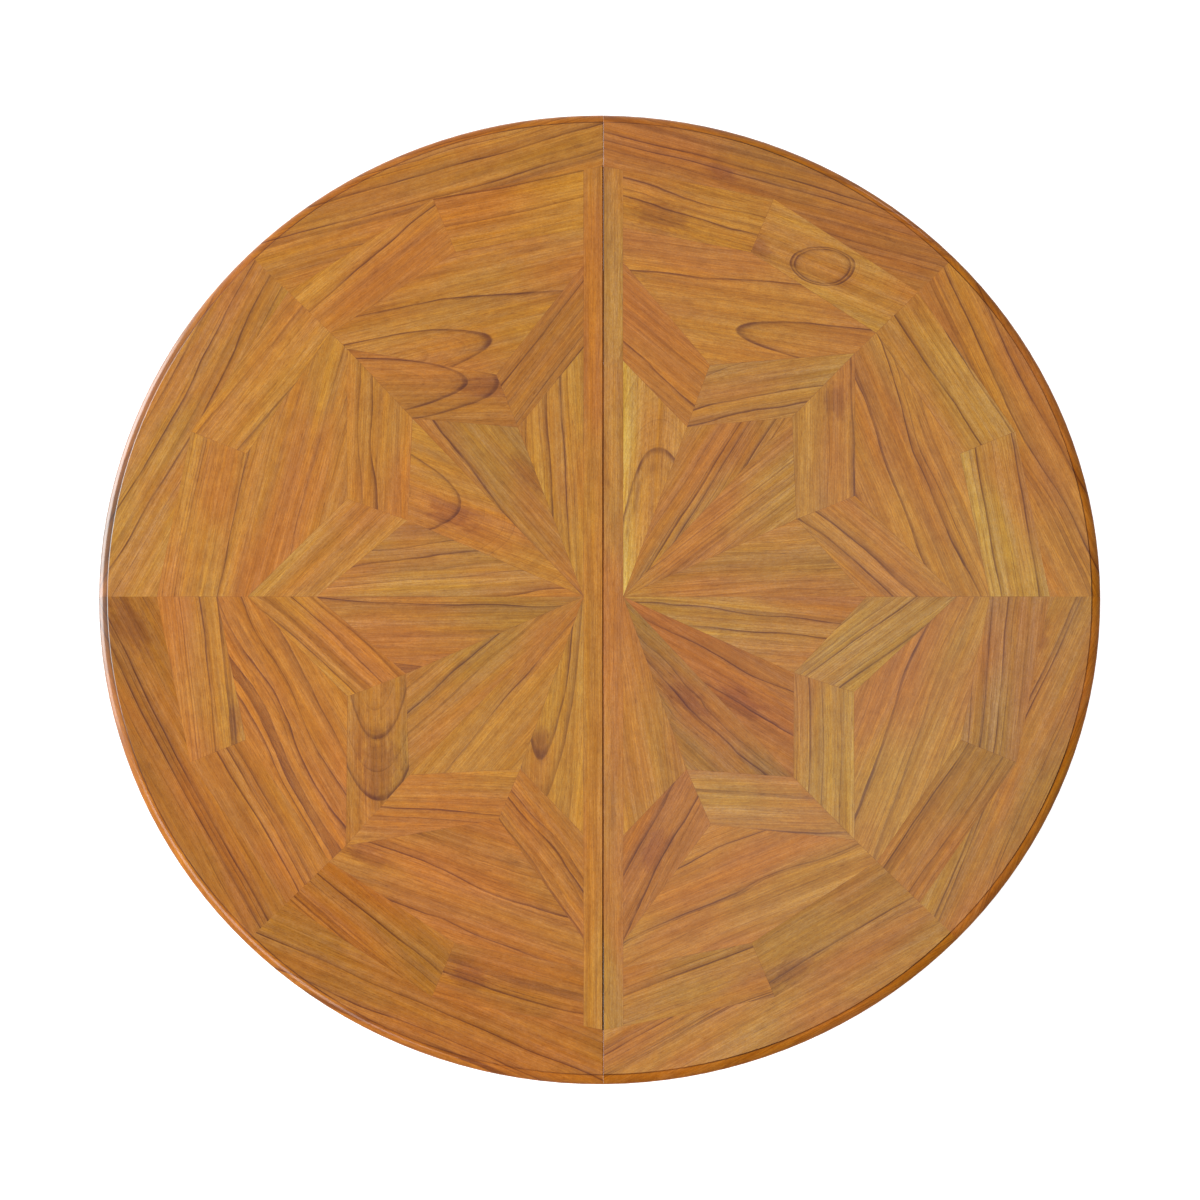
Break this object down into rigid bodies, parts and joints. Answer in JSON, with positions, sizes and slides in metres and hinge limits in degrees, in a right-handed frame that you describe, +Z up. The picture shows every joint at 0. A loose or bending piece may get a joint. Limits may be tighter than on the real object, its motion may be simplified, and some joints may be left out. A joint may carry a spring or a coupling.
{
  "type": "extending dining table",
  "caption": "Round pedestal dining table with a star parquet top that parts along a seam and slides open over a stored folding leaf.",
  "frame": {"origin": "on the floor, under the middle of the closed round top", "axes": "+X the way the right half slides, +Y along the seam towards the leaf's hinges, +Z up"},
  "size_m": [1.2, 1.2, 0.75],
  "materials": {
    "star_wood": "clear lacquer, satin to gloss",
    "band_wood": "clear lacquer, satin to gloss",
    "surround_wood": "clear lacquer, satin to gloss",
    "board_wood": "clear lacquer, satin to gloss",
    "strip_wood": "clear lacquer, satin to gloss",
    "rim_wood": "clear lacquer, satin to gloss",
    "panel_wood": "oiled",
    "leaf_wood": "clear lacquer, satin to gloss",
    "apron_wood": "clear lacquer, satin to gloss",
    "slide_wood": "oiled",
    "base_wood": "clear lacquer, satin to gloss",
    "steel": "zinc plated",
    "brass": "satin",
    "felt": "felt",
    "glide_plastic": "matt"
  },
  "bodies": {
    "base": {"column": "base_wood", "column_pendant": "base_wood", "leg_back_right": "base_wood", "leg_back_left": "base_wood", "leg_front_left": "base_wood", "leg_front_right": "base_wood", "leg_dowels": "slide_wood", "floor_glides": "glide_plastic", "top_plate": "base_wood", "left_cross_bearer": "base_wood", "right_cross_bearer": "base_wood", "base_screws": "steel", "tie_rod": "steel", "tie_rod_nuts": "steel", "fixed_rail_front": "slide_wood", "fixed_rail_back": "slide_wood", "pinion_pins": "steel", "felt_pads": "felt", "leaf_end_mouldings": "rim_wood", "leaf_lower_boards": "leaf_wood", "leaf_lower_panel": "panel_wood", "leaf_upper_boards": "leaf_wood", "leaf_upper_panel": "panel_wood", "leaf_hinges": "brass", "leaf_hinge_pins": "brass"},
    "top_left": {"left_star_points": "star_wood", "left_star_band": "band_wood", "left_star_surround": "surround_wood", "left_mid_ring": "board_wood", "left_seam_strip": "strip_wood", "left_outer_ring": "rim_wood", "left_core_panel": "panel_wood", "left_apron": "apron_wood", "left_glue_blocks": "slide_wood", "left_runner_front": "slide_wood", "left_runner_back": "slide_wood", "left_racks": "steel", "left_runner_screws": "steel", "latch_plates": "brass", "latch_screws": "brass"},
    "top_right": {"right_star_points": "star_wood", "right_star_band": "band_wood", "right_star_surround": "surround_wood", "right_mid_ring": "board_wood", "right_seam_strip": "strip_wood", "right_outer_ring": "rim_wood", "right_core_panel": "panel_wood", "right_apron": "apron_wood", "right_glue_blocks": "slide_wood", "right_runner_front": "slide_wood", "right_runner_back": "slide_wood", "right_racks": "steel", "right_runner_screws": "steel", "keeper_plates": "brass", "keeper_screws": "brass", "alignment_dowels": "slide_wood"},
    "latch_front": {"latch_lever_front": "brass"},
    "latch_back": {"latch_lever_back": "brass"},
    "pinion_front": {"pinion_front": "steel"},
    "pinion_back": {"pinion_back": "steel"}
  },
  "joints": [
    {"name": "slide_left", "type": "slide", "parent": "base", "child": "top_left", "axis": [-1, 0, 0], "range_m": [0, 0.225]},
    {"name": "slide_right", "type": "slide", "parent": "base", "child": "top_right", "axis": [1, 0, 0], "range_m": [0, 0.225]},
    {"name": "pinion_front_spin", "type": "hinge", "parent": "base", "child": "pinion_front", "pos_m": [0, -0.36, 0.706], "axis": [0, 0, 1], "range_deg": [0, 1075]},
    {"name": "pinion_back_spin", "type": "hinge", "parent": "base", "child": "pinion_back", "pos_m": [0, 0.36, 0.706], "axis": [0, 0, -1], "range_deg": [0, 1075]},
    {"name": "latch_front_turn", "type": "hinge", "parent": "top_left", "child": "latch_front", "pos_m": [-0.0125, -0.445, 0.7237], "axis": [0, 0, 1], "range_deg": [0, 90]},
    {"name": "latch_back_turn", "type": "hinge", "parent": "top_left", "child": "latch_back", "pos_m": [-0.0125, 0.445, 0.7237], "axis": [0, 0, -1], "range_deg": [0, 90]}
  ],
  "couplings": [
    {"joint": "slide_right", "follows": "slide_left", "ratio": 1},
    {"joint": "pinion_front_spin", "follows": "slide_left", "rad_per_m": 83.333},
    {"joint": "pinion_back_spin", "follows": "slide_left", "rad_per_m": 83.333}
  ]
}
